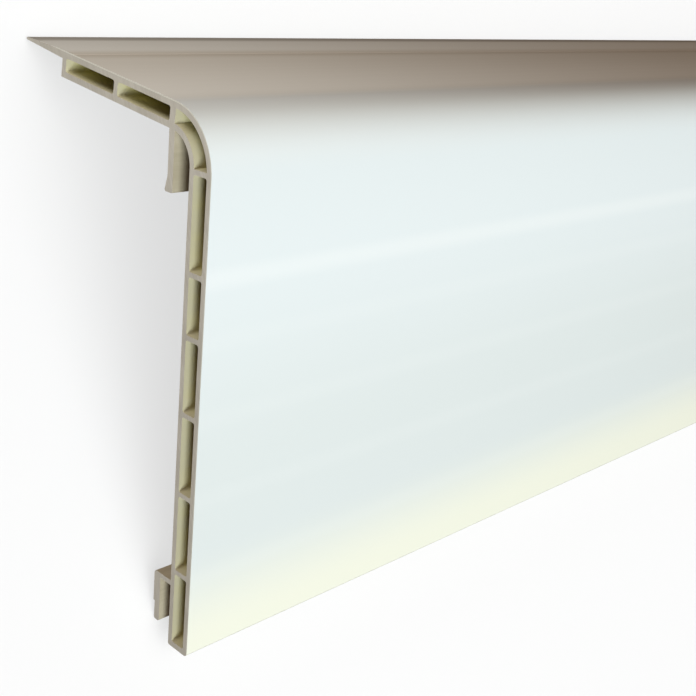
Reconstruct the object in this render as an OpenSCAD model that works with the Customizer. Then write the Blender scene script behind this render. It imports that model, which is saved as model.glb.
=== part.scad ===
// Hollow-chamber cover strip: a tall wall, a rounded top corner, a flange that
// rises to the rear, a thin sealing lip and two clip legs. It is one extrusion,
// stored lying on the lip and the lower hook with its show face up.

/* [Strip] */
// length the stock is sold in
strip_l = 2000; // [500:50:3000]
// straight height of the wall, up to the start of the top corner
wall_h = 98; // [96:1:140]
// thickness of the wall over both skins
wall_t = 6.2; // [5.4:0.1:8]
// outer radius of the top corner
corner_r = 12; // [11:0.5:14]
// radius of the bottom edge on the show side
edge_r = 1; // [0.4:0.1:1.2]

/* [Skins] */
// thickness of the skin on the show side
show_skin = 1.3; // [0.8:0.1:1.6]
// thickness of the skin on the rear
rear_skin = 1.2; // [0.8:0.1:1.6]
// thickness of the webs between the wall chambers
web_t = 1; // [0.8:0.1:1.6]
// radius inside the chamber corners
chamber_r = 0.5; // [0.2:0.1:0.8]
// thickness of the wall's bottom edge under the last chamber
foot_t = 1.3; // [1:0.1:2]

/* [Wall chambers] */
// height of the first chamber, under the corner; the sixth takes the rest of the wall
chamber_1_h = 17.8; // [10:0.1:20]
// height of the second chamber
chamber_2_h = 11.2; // [8:0.1:16]
// height of the third chamber
chamber_3_h = 14.6; // [8:0.1:16]
// height of the fourth chamber
chamber_4_h = 15.9; // [8:0.1:18]
// height of the fifth chamber
chamber_5_h = 16.4; // [8:0.1:18]

/* [Flange] */
// thickness of the flange over both skins
flange_t = 5.2; // [4.6:0.1:6]
// length of the flange from the corner's centre to its rear end
flange_l = 36.8; // [28:0.2:50]
// angle by which the flange rises to the rear
flange_rise = 6; // [0:0.5:10]
// radius inside the angle between wall and flange
inner_r = 6; // [5.4:0.1:6]
// thickness of the flange's rear end wall
end_t = 1.4; // [1:0.1:2]
// thickness of the web between the two flange chambers
flange_web_t = 1.2; // [0.8:0.1:1.6]

/* [Lip] */
// length of the sealing lip behind the flange
lip_l = 13.2; // [8:0.2:16]
// thickness of the lip at its root
lip_t = 1.6; // [1.2:0.1:2]
// radius of the lip's tip
lip_tip_r = 0.25; // [0.2:0.05:0.4]
// angle by which the lip falls from the line of the flange
lip_droop = 2.5; // [0:0.5:4]

/* [Upper clip leg] */
// distance from the show face to the front of the leg
leg_y = 10.9; // [10.4:0.1:12]
// thickness of the leg
leg_t = 1.6; // [1.2:0.1:2]
// length of the leg below the start of the corner
leg_drop = 4.7; // [2:0.1:8]
// how far the barb stands out behind the leg
barb_out = 0.7; // [0.4:0.1:1]
// height of the barb
barb_h = 3; // [2:0.1:4]

/* [Lower hook] */
// height of the hook's top above the bottom edge
hook_z = 15; // [12:0.5:20]
// height of the hook's tip above the bottom edge
hook_tip_z = 3.6; // [2:0.1:5]
// width of the slot between wall and hook
slot_w = 3.4; // [2.6:0.1:4]
// thickness of the hook's leg
hook_t = 2; // [1.4:0.1:2.4]
// thickness of the hook's top web
hook_web_t = 1.1; // [0.9:0.1:1.6]
// length of the thinner lower end of the hook's leg
hook_relief_l = 4.2; // [3:0.1:6]
// depth of the step above that thinner end
hook_relief = 0.4; // [0.1:0.1:0.6]
// radius of the hook's outer corner
hook_r = 0.8; // [0.4:0.1:1]
// radius of the tips of leg and hook
tip_r = 0.4; // [0.2:0.05:0.5]

/* [Hidden] */
$fn = 64;
// how far one shape reaches into the next, so that they join
lap = 0.3;
// heights of the chambers' tops above the bottom edge, from the top down
chamber_hs = [chamber_1_h, chamber_2_h, chamber_3_h, chamber_4_h, chamber_5_h];
function top_of(i) = i == 0 ? wall_h : top_of(i - 1) - chamber_hs[i - 1] - web_t;
chamber_t = wall_t - show_skin - rear_skin;
function turned(p, a) = [p[0] * cos(a) - p[1] * sin(a), p[0] * sin(a) + p[1] * cos(a)];
// where a line from q passes the circle about c, on its left (1) or right (-1);
// it runs just inside the circle, so that the two cross cleanly
function touch(q, c, r, side) =
  let (v = c - q, i = 0.97 * r, a = atan2(v[1], v[0]) + side * asin(i / norm(v)))
  q + sqrt(v * v - i * i) * [cos(a), sin(a)];
// the corner's centre, and that of the radius inside the angle
corner_c = [corner_r, wall_h];
inner_dx = wall_t + inner_r - corner_r;
inner_dy = (corner_r - flange_t - inner_r + inner_dx * sin(flange_rise)) / cos(flange_rise);
inner_c = corner_c + [inner_dx, inner_dy];
inner_x = turned([inner_dx, inner_dy], -flange_rise)[0];
// the flange's chambers start behind the leg and end before the end wall
flange_x0 = leg_y + leg_t - corner_r + (corner_r - flange_t / 2) * sin(flange_rise);
flange_chamber_l = (flange_l - end_t - flange_x0 - flange_web_t) / 2;
flange_chamber_t = flange_t - show_skin - rear_skin;
// the foot of the upper leg, and the centre of its barb
foot_z = wall_h - leg_drop;
leg_rear = leg_y + leg_t;
barb_c = [leg_rear + barb_out - tip_r, foot_z + tip_r];
// rear face of the hook, and its thinner end
hook_y = wall_t + slot_w + hook_t;
hook_end_y = hook_y - hook_relief;
hook_c = [hook_end_y - tip_r, hook_tip_z + tip_r];
// the tip of the lip
lip_c = corner_c + turned([flange_l, corner_r] + turned([lip_l, -lip_tip_r], -lip_droop), flange_rise);
// angle about the length at which lip and hook both rest on the floor
rest_v = lip_c - hook_c;
rest_a = atan2(rest_v[1], rest_v[0]) + asin((tip_r - lip_tip_r) / norm(rest_v));
floor_z = turned(hook_c, -rest_a)[1] - tip_r;
low_y = edge_r * (cos(rest_a) + sin(rest_a) - 1);
high_y = turned(lip_c, -rest_a)[0] + lip_tip_r;

// a box with rounded corners, from its low corner
module soft_box(size, r) {
  translate([r, 0]) square([size[0] - 2 * r, size[1]]);
  translate([0, r]) square([size[0], size[1] - 2 * r]);
  for (x = [r, size[0] - r], y = [r, size[1] - r])
    translate([x, y]) circle(r);
}

// moves what it holds into the flange's own frame
module on_flange() {
  translate(corner_c) rotate(flange_rise) children();
}

// the wall with its bottom edges rounded
module wall_body() {
  translate([0, edge_r]) square([wall_t - tip_r, wall_h - edge_r]);
  translate([edge_r, 0]) square([wall_t - edge_r - tip_r, wall_h]);
  translate([edge_r, tip_r]) square([wall_t - edge_r, wall_h - tip_r]);
  translate([edge_r, edge_r]) circle(edge_r);
  translate([wall_t - tip_r, tip_r]) circle(tip_r);
}

// the part of a circle about the corner's centre that lies between wall and flange
module corner_sector(r, z_low, x_high) {
  intersection() {
    translate(corner_c) circle(r);
    translate([-lap, z_low]) square([2 * corner_r, 2 * corner_r]);
    on_flange() translate([-2 * corner_r, -2 * corner_r]) square([2 * corner_r + x_high, 4 * corner_r]);
  }
}

// the round corner, cut out below the inner radius and the flange
module corner_body() {
  difference() {
    corner_sector(corner_r, wall_h, max(inner_x, 0) + lap);
    translate(inner_c) circle(inner_r);
    translate([wall_t, wall_h - lap]) square([inner_r, inner_dy + lap]);
    on_flange() translate([inner_x, -corner_r]) square([corner_r, 2 * corner_r - flange_t]);
  }
}

module flange_body() {
  on_flange() translate([0, corner_r - flange_t]) square([flange_l, flange_t]);
}

// the lip tapers to a round tip
module lip_body() {
  tip = [lip_l, -lip_tip_r];
  on_flange() translate([flange_l, corner_r]) rotate(-lip_droop) {
    polygon([
      [0, 0], [-lap, -lap], [-lap, -lip_t], [0, -lip_t],
      touch([0, -lip_t], tip, lip_tip_r, -1), tip, [lip_l, 0]
    ]);
    translate(tip) circle(lip_tip_r);
  }
}

// the leg behind the corner, with a barb that flares to the rear
module upper_leg() {
  top_z = wall_h + corner_r - flange_t + lap;
  toe_c = [leg_y + tip_r, foot_z + tip_r];
  barb_q = [leg_rear, foot_z + barb_h];
  polygon([
    [leg_y, top_z], [leg_y, toe_c[1]], toe_c, [toe_c[0], foot_z], [barb_c[0], foot_z], barb_c,
    touch(barb_q, barb_c, tip_r, 1), barb_q, [leg_rear, top_z]
  ]);
  translate(toe_c) circle(tip_r);
  translate(barb_c) circle(tip_r);
}

// the web that runs to the rear and the leg that hangs from it
module lower_hook() {
  leg_x = hook_y - hook_t;
  web_low = hook_z - hook_web_t;
  relief_z = hook_tip_z + hook_relief_l;
  toe_c = [leg_x + tip_r, hook_c[1]];
  bend_c = [hook_y - hook_r, hook_z - hook_r];
  polygon([
    [wall_t - lap, web_low], [leg_x, web_low], [leg_x, toe_c[1]], toe_c, [toe_c[0], hook_tip_z],
    [hook_c[0], hook_tip_z], hook_c, [hook_end_y, hook_c[1]], [hook_end_y, relief_z], [hook_y, relief_z],
    [hook_y, bend_c[1]], bend_c, [bend_c[0], hook_z], [wall_t - lap, hook_z]
  ]);
  translate(toe_c) circle(tip_r);
  translate(hook_c) circle(tip_r);
  translate(bend_c) circle(hook_r);
}

// the hollow chambers of wall, corner and flange
module chambers() {
  for (i = [0 : len(chamber_hs)]) {
    low = i < len(chamber_hs) ? top_of(i) - chamber_hs[i] : foot_t;
    translate([show_skin, low]) soft_box([chamber_t, top_of(i) - low], chamber_r);
  }
  difference() {
    corner_sector(corner_r - show_skin, wall_h + web_t, flange_x0 - leg_t);
    translate(inner_c) circle(inner_r + rear_skin);
  }
  for (i = [0, 1])
    on_flange()
      translate([flange_x0 + i * (flange_chamber_l + flange_web_t), corner_r - flange_t + rear_skin])
        soft_box([flange_chamber_l, flange_chamber_t], chamber_r);
}

// the section upright, as it is fitted: show face at 0, bottom edge at 0
module section() {
  difference() {
    union() {
      wall_body();
      corner_body();
      flange_body();
      lip_body();
      upper_leg();
      lower_hook();
    }
    chambers();
  }
}

// the strip as it lies on a floor, its length along X
module cover_strip() {
  color([0.93, 0.94, 0.92])
    rotate([90, 0, 90])
      linear_extrude(strip_l, center = true)
        translate([-(low_y + high_y) / 2, -floor_z])
          rotate(-rest_a) section();
}

cover_strip();
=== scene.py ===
# Cover strip: one length of white hollow plastic profile, lying on its lip and lower hook.
import bpy
import math
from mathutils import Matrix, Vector


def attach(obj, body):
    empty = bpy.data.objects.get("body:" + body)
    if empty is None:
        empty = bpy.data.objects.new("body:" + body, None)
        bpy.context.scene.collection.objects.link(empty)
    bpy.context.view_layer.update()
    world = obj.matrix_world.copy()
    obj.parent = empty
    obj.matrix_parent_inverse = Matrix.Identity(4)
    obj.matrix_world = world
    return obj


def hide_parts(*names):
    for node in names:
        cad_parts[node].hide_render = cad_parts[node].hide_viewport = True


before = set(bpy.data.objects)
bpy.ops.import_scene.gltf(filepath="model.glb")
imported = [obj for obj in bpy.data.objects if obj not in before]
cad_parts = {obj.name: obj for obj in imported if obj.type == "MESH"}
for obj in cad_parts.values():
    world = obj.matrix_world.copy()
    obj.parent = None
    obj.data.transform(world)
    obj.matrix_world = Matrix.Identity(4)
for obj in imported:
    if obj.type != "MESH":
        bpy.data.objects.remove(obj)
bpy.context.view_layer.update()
print("frame loaded:", sorted(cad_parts))

# the section upright, in mm: y runs to the rear from the show face, z up from the bottom edge
strip = {
    "length": 2000.0,
    "wallHeight": 98.0,
    "wallThick": 6.2,
    "cornerRadius": 12.0,
    "edgeRadius": 1.0,
    "showSkin": 1.3,
    "rearSkin": 1.2,
    "web": 1.0,
    "chamberRadius": 0.5,
    "foot": 1.3,
    "chamberHeights": [17.8, 11.2, 14.6, 15.9, 16.4],
    "flangeThick": 5.2,
    "flangeLength": 36.8,
    "flangeRise": 6.0,
    "innerRadius": 6.0,
    "endWall": 1.4,
    "flangeWeb": 1.2,
    "lipLength": 13.2,
    "lipRoot": 1.6,
    "lipTipRadius": 0.25,
    "lipDroop": 2.5,
    "lipLap": 3.8,       # how far the soft plastic of the lip runs on over the flange
    "jointWidth": 0.5,
    "jointDepth": 0.1,
    "legFront": 10.9,
    "legThick": 1.6,
    "legDrop": 4.7,
    "barbOut": 0.7,
    "barbHeight": 3.0,
    "hookTop": 15.0,
    "hookTip": 3.6,
    "slotWidth": 3.4,
    "hookThick": 2.0,
    "hookWeb": 1.1,
    "reliefLength": 4.2,
    "reliefDepth": 0.4,
    "hookRadius": 0.8,
    "tipRadius": 0.4,
    "cornerSteps": 28,   # pieces of the big round
    "innerSteps": 18,
    "smallSteps": 5,     # pieces of each small round
}


def turned(point, degrees):
    c, s = math.cos(math.radians(degrees)), math.sin(math.radians(degrees))
    return Vector((point[0] * c - point[1] * s, point[0] * s + point[1] * c))


def tangentPoint(start, centre, radius, side):
    # where a line from start touches the circle, on its left (1) or right (-1)
    away = centre - start
    angle = math.atan2(away.y, away.x) + side * math.asin(radius / away.length)
    reach = math.sqrt(away.length_squared - radius * radius)
    return start + reach * Vector((math.cos(angle), math.sin(angle)))


def angleOf(point, centre):
    return math.degrees(math.atan2(point[1] - centre[1], point[0] - centre[0]))


# places that several outlines share
cornerCentre = Vector((strip["cornerRadius"], strip["wallHeight"]))


def onFlange(along, up):
    # a place in the flange's own frame, which starts at the corner's centre
    return cornerCentre + turned((along, up), strip["flangeRise"])


riseSin = math.sin(math.radians(strip["flangeRise"]))
riseCos = math.cos(math.radians(strip["flangeRise"]))
flangeUnder = strip["cornerRadius"] - strip["flangeThick"]     # up from the corner's centre to the underside
innerShift = strip["wallThick"] + strip["innerRadius"] - strip["cornerRadius"]
innerUp = (flangeUnder - strip["innerRadius"] + innerShift * riseSin) / riseCos
innerCentre = cornerCentre + Vector((innerShift, innerUp))
legRear = strip["legFront"] + strip["legThick"]
legFoot = strip["wallHeight"] - strip["legDrop"]
barbCentre = Vector((legRear + strip["barbOut"] - strip["tipRadius"], legFoot + strip["tipRadius"]))
hookRear = strip["wallThick"] + strip["slotWidth"] + strip["hookThick"]
hookEnd = hookRear - strip["reliefDepth"]
hookCentre = Vector((hookEnd - strip["tipRadius"], strip["hookTip"] + strip["tipRadius"]))
lipCorner = Vector((strip["flangeLength"], strip["cornerRadius"]))
jointPlace = strip["flangeLength"] - strip["lipLap"]
lipEnd = strip["flangeLength"] + strip["lipLength"]


def onLip(along, up):
    shift = lipCorner + turned((along, up), -strip["lipDroop"])
    return onFlange(shift.x, shift.y)


lipCentre = onLip(strip["lipLength"], -strip["lipTipRadius"])

# the strip comes to rest on the tips of lip and hook
restLine = lipCentre - hookCentre
restAngle = math.degrees(math.atan2(restLine.y, restLine.x)
                         + math.asin((strip["tipRadius"] - strip["lipTipRadius"]) / restLine.length))
floorLine = turned(hookCentre, -restAngle).y - strip["tipRadius"]
lowY = strip["edgeRadius"] * (math.cos(math.radians(restAngle)) + math.sin(math.radians(restAngle)) - 1)
highY = turned(lipCentre, -restAngle).x + strip["lipTipRadius"]
leftEnd = -strip["length"] / 2000


def toRow(point, x=leftEnd):
    # from the upright section in mm to the strip as it lies, in metres
    p = turned(point, -restAngle)
    return Vector((x, (p.x - (lowY + highY) / 2) / 1000, (p.y - floorLine) / 1000))


def toUpright(point):
    # from the lying strip back to the upright section, in mm
    return turned((point.y * 1000 + (lowY + highY) / 2, point.z * 1000 + floorLine), restAngle)


def newPiece(name):
    # an empty mesh in edit mode, made from a plane that is taken away again
    bpy.ops.object.select_all(action="DESELECT")
    bpy.ops.mesh.primitive_plane_add(size=0.01)
    piece = bpy.context.active_object
    piece.name = piece.data.name = name
    bpy.ops.object.mode_set(mode="EDIT")
    bpy.ops.mesh.select_mode(type="VERT")
    bpy.ops.mesh.delete(type="VERT")
    return piece


def traceLoop(start, moves):
    # draws a closed outline vertex by vertex: a point is a line to it, (centre, degrees, steps) an arc
    bpy.ops.mesh.select_all(action="DESELECT")
    bpy.ops.mesh.primitive_plane_add(size=0.0001, location=toRow(start))
    bpy.ops.mesh.merge(type="CENTER")
    at = Vector(start)
    for move in moves:
        if len(move) == 2:
            goal = Vector(move)
            if (goal - at).length < 1e-5:
                continue
            step = toRow(goal) - toRow(at)
            bpy.ops.mesh.extrude_region_move(TRANSFORM_OT_translate={"value": step})
        else:
            centre, degrees, steps = move
            bpy.ops.mesh.spin(steps=steps, angle=math.radians(degrees), center=toRow(centre), axis=(-1, 0, 0))
            goal = Vector(centre) + turned(at - Vector(centre), degrees)
        at = goal
    print("outline closes within", round((at - Vector(start)).length, 6), "mm")


def roundedBox(low, high, radius, place=lambda y, z: Vector((y, z))):
    # the moves around one chamber, in its own frame
    n = strip["smallSteps"]
    corners = [(high[0] - radius, low[1] + radius), (high[0] - radius, high[1] - radius),
               (low[0] + radius, high[1] - radius), (low[0] + radius, low[1] + radius)]
    starts = [(high[0] - radius, low[1]), (high[0], high[1] - radius),
              (low[0] + radius, high[1]), (low[0], low[1] + radius)]
    moves = []
    for corner, start in zip(corners, starts):
        moves += [place(*start), (place(*corner), 90, n)]
    return place(low[0] + radius, low[1]), moves


def outerOutline():
    n = strip["smallSteps"]
    tip, wall = strip["tipRadius"], strip["wallThick"]
    edge, rise = strip["edgeRadius"], strip["flangeRise"]
    legX = hookRear - strip["hookThick"]
    relief = strip["hookTip"] + strip["reliefLength"]
    webLow = strip["hookTop"] - strip["hookWeb"]
    bend = Vector((hookRear - strip["hookRadius"], strip["hookTop"] - strip["hookRadius"]))
    legAngle = math.degrees(math.acos((strip["legFront"] - innerCentre.x) / strip["innerRadius"]))
    toe = Vector((strip["legFront"] + tip, legFoot + tip))
    barbStart = Vector((legRear, legFoot + strip["barbHeight"]))
    barbTouch = tangentPoint(barbStart, barbCentre, tip, 1)
    underAtLeg = cornerCentre.y + (flangeUnder + (legRear - cornerCentre.x) * riseSin) / riseCos
    lipRoot = onLip(0, -strip["lipRoot"])
    lipTouch = tangentPoint(lipRoot, lipCentre, strip["lipTipRadius"], -1)
    lipTop = onLip(strip["lipLength"], 0)
    lipTurn = (angleOf(lipTop, lipCentre) - angleOf(lipTouch, lipCentre)) % 360
    return Vector((edge, 0)), [
        (wall - tip, 0), ((wall - tip, tip), 90, n),
        (wall, webLow), (legX, webLow),
        (legX, hookCentre.y), ((legX + tip, hookCentre.y), 90, n),
        (hookCentre.x, strip["hookTip"]), (hookCentre, 90, n),
        (hookEnd, relief), (hookRear, relief), (hookRear, bend.y), (bend, 90, n),
        (wall, strip["hookTop"]), (wall, innerCentre.y),
        (innerCentre, legAngle - 180, strip["innerSteps"]),
        (strip["legFront"], toe.y), (toe, 90, n),
        (barbCentre.x, legFoot), (barbCentre, angleOf(barbTouch, barbCentre) + 90, n),
        barbStart, (legRear, underAtLeg),
        onFlange(strip["flangeLength"], flangeUnder), lipRoot,
        lipTouch, (lipCentre, lipTurn, n + 3), onFlange(strip["flangeLength"], strip["cornerRadius"]),
        onFlange(jointPlace + strip["jointWidth"] / 2, strip["cornerRadius"]),
        onFlange(jointPlace, strip["cornerRadius"] - strip["jointDepth"]),
        onFlange(jointPlace - strip["jointWidth"] / 2, strip["cornerRadius"]),
        onFlange(0, strip["cornerRadius"]), (cornerCentre, 90 - rise, strip["cornerSteps"]),
        (0, edge), ((edge, edge), 90, n + 2),
    ]


def cornerChamber():
    # the curved chamber between the round's outer skin and the inner radius
    outer = strip["cornerRadius"] - strip["showSkin"]
    inner = strip["innerRadius"] + strip["rearSkin"]
    low = strip["wallHeight"] + strip["web"]
    right = flangeStart - strip["legThick"]
    # the four corners: outer and inner round against the flange web, and against the wall web
    outerTop = onFlange(right, math.sqrt(outer ** 2 - right ** 2))
    outerLow = Vector((cornerCentre.x - math.sqrt(outer ** 2 - (low - cornerCentre.y) ** 2), low))
    innerLow = Vector((innerCentre.x - math.sqrt(inner ** 2 - (low - innerCentre.y) ** 2), low))
    local = turned(innerCentre - cornerCentre, -strip["flangeRise"])
    innerTop = onFlange(right, local.y + math.sqrt(inner ** 2 - (right - local.x) ** 2))
    outerTurn = (angleOf(outerLow, cornerCentre) - angleOf(outerTop, cornerCentre)) % 360
    innerTurn = -((angleOf(innerLow, innerCentre) - angleOf(innerTop, innerCentre)) % 360)
    return outerTop, [(cornerCentre, outerTurn, strip["innerSteps"]), innerLow,
                      (innerCentre, innerTurn, strip["innerSteps"]), outerTop]


# the flange's chambers start behind the leg and end before the end wall
flangeMiddle = strip["cornerRadius"] - strip["flangeThick"] / 2
flangeStart = legRear - strip["cornerRadius"] + flangeMiddle * riseSin
flangeChamber = (strip["flangeLength"] - strip["endWall"] - flangeStart - strip["flangeWeb"]) / 2


def buildStrip():
    piece = newPiece("stripProfile")
    chambers = piece.vertex_groups.new(name="chambers")
    soft = strip["chamberRadius"]
    rearY = strip["wallThick"] - strip["rearSkin"]
    top = strip["wallHeight"]
    for chamber in strip["chamberHeights"]:
        traceLoop(*roundedBox((strip["showSkin"], top - chamber), (rearY, top), soft))
        top -= chamber + strip["web"]
    traceLoop(*roundedBox((strip["showSkin"], strip["foot"]), (rearY, top), soft))
    floorUp = flangeUnder + strip["rearSkin"]
    roofUp = strip["cornerRadius"] - strip["showSkin"]
    for i in range(2):
        left = flangeStart + i * (flangeChamber + strip["flangeWeb"])
        traceLoop(*roundedBox((left, floorUp), (left + flangeChamber, roofUp), soft, onFlange))
    traceLoop(*cornerChamber())
    bpy.ops.mesh.select_all(action="SELECT")
    piece.vertex_groups.active = chambers
    bpy.ops.object.vertex_group_assign()
    traceLoop(*outerOutline())
    bpy.ops.mesh.select_all(action="SELECT")
    bpy.ops.mesh.remove_doubles(threshold=1e-6)
    bpy.ops.mesh.fill(use_beauty=True)
    bpy.ops.mesh.select_all(action="SELECT")
    bpy.ops.mesh.extrude_region_move(TRANSFORM_OT_translate={"value": (strip["length"] / 1000, 0, 0)})
    bpy.ops.mesh.select_all(action="SELECT")
    bpy.ops.mesh.normals_make_consistent(inside=False)
    bpy.ops.object.mode_set(mode="OBJECT")
    bpy.ops.object.shade_smooth_by_angle(angle=math.radians(20))
    return piece


piece = buildStrip()
print("strip profile:", len(piece.data.vertices), "vertices,", len(piece.data.polygons), "faces")


class Signal:
    # one socket of a finish, with the sums that can be done on it
    def __init__(self, finish, socket):
        self.finish = finish
        self.socket = socket

    def sum(self, operation, a, b):
        return self.finish.add("ShaderNodeMath", {"operation": operation}, {0: a, 1: b})

    def __add__(self, other):
        return self.sum("ADD", self, other)

    def __radd__(self, other):
        return self.sum("ADD", other, self)

    def __sub__(self, other):
        return self.sum("SUBTRACT", self, other)

    def __rsub__(self, other):
        return self.sum("SUBTRACT", other, self)

    def __mul__(self, other):
        return self.sum("MULTIPLY", self, other)

    def __rmul__(self, other):
        return self.sum("MULTIPLY", other, self)

    def __pow__(self, other):
        return self.sum("POWER", self, other)

    def __rpow__(self, other):
        return self.sum("POWER", other, self)

    def __abs__(self):
        return self.sum("ABSOLUTE", self, 0.0)


class Finish:
    # a material and the nodes that make it up
    def __init__(self, name):
        self.material = bpy.data.materials.new(name)
        self.material.use_nodes = True
        self.tree = self.material.node_tree
        self.tree.nodes.clear()

    def add(self, kind, settings=None, inputs=None, output=0):
        node = self.tree.nodes.new(kind)
        for key, value in (settings or {}).items():
            setattr(node, key, value)
        for key, value in (inputs or {}).items():
            if isinstance(value, Signal):
                self.tree.links.new(value.socket, node.inputs[key])
            else:
                node.inputs[key].default_value = value
        return Signal(self, node.outputs[output])

    def objectPlace(self):
        return self.add("ShaderNodeTexCoord", output="Object")

    def noise(self, place, scale, detail=2.0, roughness=0.5):
        # scale is three numbers, pieces per metre along each axis
        stretched = self.add("ShaderNodeMapping", {}, {"Vector": place, "Scale": scale})
        return self.add("ShaderNodeTexNoise", {}, {"Vector": stretched, "Scale": 1.0, "Detail": detail,
                                                  "Roughness": roughness})

    def fade(self, value, low, high, first=0.0, last=1.0):
        return self.add("ShaderNodeMapRange", {"interpolation_type": "SMOOTHSTEP", "clamp": True},
                        {"Value": value, "From Min": low, "From Max": high, "To Min": first, "To Max": last})

    def blend(self, amount, first, second):
        return self.add("ShaderNodeMix", {"data_type": "RGBA"}, {0: amount, 6: first, 7: second}, output=2)

    def finish(self, sockets):
        shader = self.add("ShaderNodeBsdfPrincipled", {}, sockets)
        out = self.tree.nodes.new("ShaderNodeOutputMaterial")
        self.tree.links.new(shader.socket, out.inputs["Surface"])
        return self.material


def uprightPlace(finish, place, direction, origin=(0, 0)):
    # how far a point of the lying strip is along a direction of the upright section, in mm from an origin
    split = finish.add("ShaderNodeSeparateXYZ", {}, {0: place}).socket.node
    y, z = Signal(finish, split.outputs["Y"]), Signal(finish, split.outputs["Z"])
    lying = turned(direction, -restAngle)
    shift = (lowY + highY) / 2 * lying.x + floorLine * lying.y - Vector(direction).dot(Vector(origin))
    return (y * (1000 * lying.x) + shift) + z * (1000 * lying.y)


def skinDepth(f, place):
    # depth under the show side, in mm, round the corner and on along the flange
    rear = uprightPlace(f, place, (1, 0))
    height = uprightPlace(f, place, (0, 1), (0, strip["wallHeight"]))
    along = uprightPlace(f, place, turned((1, 0), strip["flangeRise"]), cornerCentre)
    up = uprightPlace(f, place, turned((0, 1), strip["flangeRise"]), cornerCentre)
    radius = (along * along + up * up) ** 0.5
    onTop = f.fade(along, -0.01, 0.01)
    onWall = f.fade(height, 0.01, -0.01)
    depth = (strip["cornerRadius"] - radius) * (1 - onTop) + (strip["cornerRadius"] - up) * onTop
    return depth * (1 - onWall) + rear * onWall


def depthFromEnd(finish, place):
    # how far inside the nearer cut end, in metres
    split = finish.add("ShaderNodeSeparateXYZ", {}, {0: place}).socket.node
    return -leftEnd - abs(Signal(finish, split.outputs["X"]))


plastic = {
    "cool": (0.815, 0.86, 0.885, 1.0),
    "low": (0.77, 0.81, 0.815, 1.0),      # painted shade: the lower part of the front, painted duller than the upper part
    "edge": (0.94, 0.93, 0.80, 1.0),      # painted warm light: a creamy glow painted along the bottom edge
    "bend": (0.52, 0.52, 0.49, 1.0),      # painted shade across the corner's round, where the light falls off from the front to the flange
    # painted shade: the flange top is painted warmer and duller than the front, for the warm half shade it
    # lies in
    "flange": (0.81, 0.78, 0.72, 1.0),
    "joint": (0.56, 0.51, 0.435, 1.0),     # the flange is duller towards the joint with the lip
    "lip": (0.73, 0.72, 0.68, 1.0),     # softer plastic, run on to the hard one
    # painted shade: dark towards the lip's tip, where it turns down to the floor
    "lipTipShade": (0.27, 0.25, 0.22, 1.0),
    "lowHeights": (84.0, 40.0),           # mm above the bottom edge, where the painted shade makes the front duller
    "bounceGlowHeights": (27.0, 4.0),           # and where the painted warm light begins
    "cornerShadePlace": -4.2,                    # mm along the flange from the corner's centre
    "cornerShadeReach": 10.0,
    "cornerShadeShare": 0.57,
    "jointReach": 4.2,
    "jointShare": 0.7,
    "lipTipShadeReach": (5.0, 2.0),           # mm from the lip's tip, for the painted shade there
    "lipTipShadeShare": 0.7,
    "webSheen": 0.24,                      # painted reflection: how much paler the show face is painted over a web
    "webReach": (3.2, 0.2),
    "gloss": 0.17,
    "lipGloss": 0.12,                     # the lip is that much rougher
    "lineDepth": 0.00002,
}


def webLines(f, height):
    # where a web stands behind the skin: a mask for a faint relief and for painted reflection lines on the
    # show face
    total, top = 0.0, strip["wallHeight"]
    for i, chamber in enumerate(strip["chamberHeights"]):
        middle = top - chamber - strip["web"] / 2
        strength = 1.0 if i == 0 else 0.25
        total = f.fade(abs(height - middle), *plastic["webReach"]) * strength + total
        top -= chamber + strip["web"]
    return total


def glossPlastic():
    f = Finish("white gloss plastic")
    place = f.objectPlace()
    height = uprightPlace(f, place, (0, 1))
    along = uprightPlace(f, place, turned((1, 0), strip["flangeRise"]), cornerCentre)
    cloud = f.noise(place, (3.0, 22.0, 22.0), 3.0)
    lines = f.noise(place, (0.35, 900.0, 900.0), 2.0, 0.6)      # drawn lines from the die
    ripple = f.noise(place, (9.0, 60.0, 60.0), 1.0)
    webs = webLines(f, height)
    onTop = f.fade(along, -2.0, 3.0)
    onLipZone = f.fade(along, jointPlace - 0.2, jointPlace + 0.2)
    joint = f.fade(abs(along - jointPlace), plastic["jointReach"], 0.4)
    # painted shade: a band across the corner's round
    bend = f.fade(abs(along - plastic["cornerShadePlace"]), plastic["cornerShadeReach"], 0.0)
    # painted shade near the lip's tip
    lipTipShade = f.fade(lipEnd - along, *plastic["lipTipShadeReach"])
    # painted shade: the front turns duller lower down
    colour = f.blend(f.fade(height, *plastic["lowHeights"]), plastic["cool"], plastic["low"])
    # painted warm light: a creamy glow along the bottom edge
    colour = f.blend(f.fade(height + cloud * 4.0, *plastic["bounceGlowHeights"]), colour, plastic["edge"])
    # painted reflection: pale lines on the show face over the webs
    colour = f.blend(webs * plastic["webSheen"] * (1 - onTop), colour, (1.0, 1.0, 1.0, 1.0))
    # painted shade: the flange top takes the warmer, duller colour
    colour = f.blend(onTop * 0.85 + cloud * 0.1, colour, plastic["flange"])
    colour = f.blend(f.fade(along, 4.0, jointPlace) * 0.38, colour, plastic["joint"])
    colour = f.blend(onLipZone, colour, plastic["lip"])
    colour = f.blend(joint * plastic["jointShare"], colour, plastic["joint"])
    # painted shade on the corner's round
    colour = f.blend(bend * plastic["cornerShadeShare"], colour, plastic["bend"])
    colour = f.blend(lipTipShade * plastic["lipTipShadeShare"], colour, plastic["lipTipShade"])
    roughness = plastic["gloss"] + lines * 0.06 + cloud * 0.05 + onLipZone * plastic["lipGloss"]
    relief = lines * 0.7 + ripple * 0.6 + webs * 0.5
    bump = f.add("ShaderNodeBump", {}, {"Height": relief, "Distance": plastic["lineDepth"], "Strength": 0.6})
    return f.finish({"Base Color": colour, "Roughness": roughness, "Normal": bump,
                     "IOR": 1.5, "Coat Weight": 0.1, "Coat Roughness": 0.1})


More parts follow.
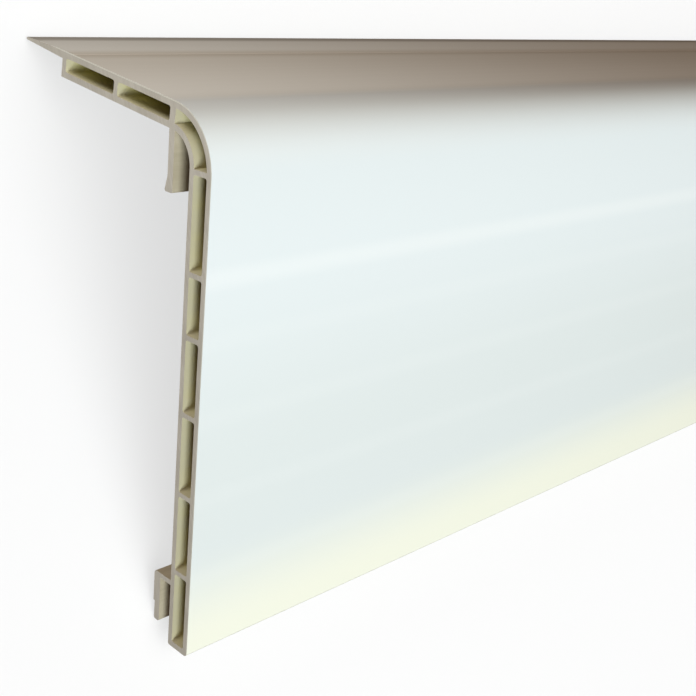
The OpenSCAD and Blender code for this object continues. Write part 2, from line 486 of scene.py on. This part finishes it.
core = {
    "pale": (0.50, 0.435, 0.32, 1.0),
    "dull": (0.42, 0.36, 0.255, 1.0),
    "skin": (0.74, 0.71, 0.63, 1.0),
    "skinThick": 0.22,
}


def corePlastic():
    # the rear faces, where the beige body has no white skin
    f = Finish("beige body plastic")
    place = f.objectPlace()
    lines = f.noise(place, (0.4, 700.0, 700.0), 3.0, 0.6)
    patches = f.noise(place, (5.0, 60.0, 60.0), 2.0)
    colour = f.blend(f.fade(patches * 0.5 + lines * 0.5, 0.35, 0.65), core["dull"], core["pale"])
    bump = f.add("ShaderNodeBump", {}, {"Height": lines, "Distance": 0.00004, "Strength": 0.5})
    return f.finish({"Base Color": colour, "Roughness": 0.36 + patches * 0.12, "Normal": bump, "IOR": 1.5})


cut = {
    "light": (0.64, 0.59, 0.52, 1.0),
    "dull": (0.505, 0.46, 0.40, 1.0),
}


def sawnPlastic():
    f = Finish("sawn plastic")
    place = f.objectPlace()
    grain = f.noise(place, (900.0, 900.0, 900.0), 3.0)
    marks = f.noise(place, (200.0, 140.0, 1700.0), 2.0, 0.6)     # the blade's tracks across the section
    patches = f.noise(place, (80.0, 80.0, 80.0), 2.0)
    skin = f.fade(skinDepth(f, place) + grain * 0.08, core["skinThick"] + 0.08, core["skinThick"])
    colour = f.blend(f.fade(patches * 0.6 + marks * 0.4, 0.3, 0.7), cut["dull"], cut["light"])
    colour = f.blend(skin, colour, core["skin"])
    relief = marks * 0.7 + grain * 0.3
    bump = f.add("ShaderNodeBump", {}, {"Height": relief, "Distance": 0.00006, "Strength": 0.6})
    return f.finish({"Base Color": colour, "Roughness": 0.42 + grain * 0.25, "Normal": bump, "IOR": 1.5})


# the chamber walls: beige body colour at the cut end, with painted shade darkening them to dark brown deeper
# inside
chamberShading = {
    "mouth": (0.51, 0.465, 0.32, 1.0),
    "middle": (0.58, 0.52, 0.21, 1.0),
    "deep": (0.26, 0.20, 0.06, 1.0),
    "mouthDepths": (0.0, 0.006),     # metres in from the cut end
    "deepDepths": (0.004, 0.030),
}


def shadedChamberPlastic():
    f = Finish("chamber plastic with painted shade")
    place = f.objectPlace()
    depth = depthFromEnd(f, place)
    mottle = f.noise(place, (60.0, 300.0, 300.0), 2.0)
    inward = depth + (mottle - 0.5) * 0.004
    # painted shade: darker the further in from the cut end
    colour = f.blend(f.fade(inward, *chamberShading["mouthDepths"]), chamberShading["mouth"], chamberShading["middle"])
    colour = f.blend(f.fade(inward, *chamberShading["deepDepths"]), colour, chamberShading["deep"])
    lines = f.noise(place, (0.5, 1200.0, 1200.0), 2.0)
    bump = f.add("ShaderNodeBump", {}, {"Height": lines, "Distance": 0.00004, "Strength": 0.5})
    return f.finish({"Base Color": colour, "Roughness": 0.32 + mottle * 0.12, "Normal": bump, "IOR": 1.5})


def onShowSide(point):
    # the white skin runs from the bottom edge over the front, round the corner and out to the lip's tip
    at = toUpright(point)
    fromCorner = turned(at - cornerCentre, -strip["flangeRise"])
    if at.y < strip["edgeRadius"]:
        return at.x < strip["edgeRadius"]
    if at.y < strip["wallHeight"]:
        return at.x < 0.05
    if fromCorner.x < 0:
        return fromCorner.length > strip["cornerRadius"] - 0.1
    return fromCorner.y > strip["cornerRadius"] - 0.8


def dressStrip(piece):
    for finish in (glossPlastic(), sawnPlastic(), shadedChamberPlastic(), corePlastic()):
        piece.data.materials.append(finish)
    inside = piece.vertex_groups["chambers"].index
    hollowPoints = {v.index for v in piece.data.vertices if any(g.group == inside for g in v.groups)}
    for face in piece.data.polygons:
        if abs(face.normal.x) > 0.9:
            face.material_index = 1
            face.use_smooth = False
        elif all(i in hollowPoints for i in face.vertices):
            face.material_index = 2
        elif not onShowSide(face.center):
            face.material_index = 3


dressStrip(piece)
print("finishes:", [m.name for m in piece.data.materials])

# a pale floor, and broad soft light that is the same along the whole length
studio = {
    "floor": (0.835, 0.856, 0.869, 1.0),
    "floorDull": (0.82, 0.841, 0.854, 1.0),
    "ambient": 0.095,
    "ambientColour": (1.0, 0.72, 0.52, 1.0),
    "backdrop": (0.97, 0.97, 0.97, 1.0),
}
# each sun's light comes from the direction towards, over a disc of spread degrees
suns = {
    "keyLight": {"towards": (-0.40, -0.63, 0.665), "spread": 24.0, "strength": 3.42,
                 "colour": (0.90, 0.99, 1.0), "shine": True},
    "rearFillLight": {"towards": (-0.35, 0.75, 0.56), "spread": 60.0, "strength": 0.47,
                      "colour": (1.0, 0.73, 0.53)},
    "farFillLight": {"towards": (0.80, -0.20, 0.55), "spread": 60.0, "strength": 0.4,
                     "colour": (1.0, 0.96, 0.92)},
}
# the floor has two suns of its own, so that its shadows stay pale
floorSuns = {
    "floorShade": {"towards": (-0.25, -0.30, 0.92), "spread": 60.0, "strength": 0.9},
    "floorLight": {"towards": (0.0, 0.0, 1.0), "spread": 50.0, "strength": 2.65, "shadow": False},
}
# a small lamp near the cut end that faces the camera
endLamp = {"place": (-1.09, 0.22, 0.135), "aim": (-0.98, 0.04, 0.03), "size": (0.14, 0.10), "power": 0.34,
           "colour": (0.97, 1.0, 0.98)}


def paleFloor():
    bpy.ops.object.select_all(action="DESELECT")
    bpy.ops.mesh.primitive_plane_add(size=14, location=(0, 0, -0.0004))
    ground = bpy.context.active_object
    ground.name = "paleFloor"
    f = Finish("pale floor")
    soft = f.noise(f.objectPlace(), (2.0, 2.0, 2.0), 2.0)
    colour = f.blend(soft, studio["floor"], studio["floorDull"])
    ground.data.materials.append(f.finish({"Base Color": colour, "Roughness": 0.8}))
    ground.visible_diffuse = False      # throws no light back, so the flange stays in half shade
    ground.visible_glossy = False
    return ground


def lightOnly(lamp, thing):
    # the lamp lights this one thing and leaves the rest alone
    lit = bpy.data.collections.new(lamp.name + " target")
    lit.objects.link(thing)
    lamp.light_linking.receiver_collection = lit


def softSun(name, towards, spread, strength, colour=(1.0, 1.0, 1.0), shine=False, shadow=True):
    bpy.ops.object.light_add(type="SUN")
    lamp = bpy.context.active_object
    lamp.name = name
    lamp.data.angle = math.radians(spread)
    lamp.data.energy = strength
    lamp.data.color = colour
    lamp.data.use_shadow = shadow
    lamp.rotation_euler = (-Vector(towards)).to_track_quat("-Z", "Y").to_euler()
    lamp.visible_glossy = shine
    return lamp


def smallLamp(name, place, aim, size, power, colour):
    bpy.ops.object.light_add(type="AREA", location=place)
    lamp = bpy.context.active_object
    lamp.name = name
    lamp.data.shape = "RECTANGLE"
    lamp.data.size, lamp.data.size_y = size
    lamp.data.energy = power
    lamp.data.color = colour
    lamp.rotation_euler = (Vector(aim) - Vector(place)).to_track_quat("-Z", "Y").to_euler()
    lamp.visible_camera = False
    lamp.visible_glossy = False
    return lamp


def backdrop():
    # pale to the eye, dim and warm as light
    world = bpy.data.worlds.new("studio")
    world.use_nodes = True
    tree = world.node_tree
    dim = tree.nodes["Background"]
    dim.inputs["Color"].default_value = studio["ambientColour"]
    dim.inputs["Strength"].default_value = studio["ambient"]
    pale = tree.nodes.new("ShaderNodeBackground")
    pale.inputs["Color"].default_value = studio["backdrop"]
    path = tree.nodes.new("ShaderNodeLightPath")
    mix = tree.nodes.new("ShaderNodeMixShader")
    tree.links.new(path.outputs["Is Camera Ray"], mix.inputs[0])
    tree.links.new(dim.outputs[0], mix.inputs[1])
    tree.links.new(pale.outputs[0], mix.inputs[2])
    tree.links.new(mix.outputs[0], tree.nodes["World Output"].inputs["Surface"])
    bpy.context.scene.world = world


ground = paleFloor()
for name, sun in suns.items():
    lightOnly(softSun(name, **sun), piece)
for name, sun in floorSuns.items():
    lightOnly(softSun(name, **sun), ground)
lightOnly(smallLamp("endLight", **endLamp), piece)
backdrop()
bpy.context.scene.view_settings.view_transform = "Standard"
print("studio ready")

# camera: the photo's view of the cut end, looking down on the lying strip
view = {
    "place": (-1.1252, 0.00111, 0.20581),
    "turn": (8.329, -42.906, -16.205),
    "lens": 59.36,
}
bpy.ops.object.camera_add(location=view["place"], rotation=[math.radians(a) for a in view["turn"]])
camera = bpy.context.active_object
camera.data.lens = view["lens"]
camera.data.sensor_width = 36
camera.data.clip_start = 0.01
bpy.context.scene.camera = camera

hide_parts("cover_strip")
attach(piece, "root")
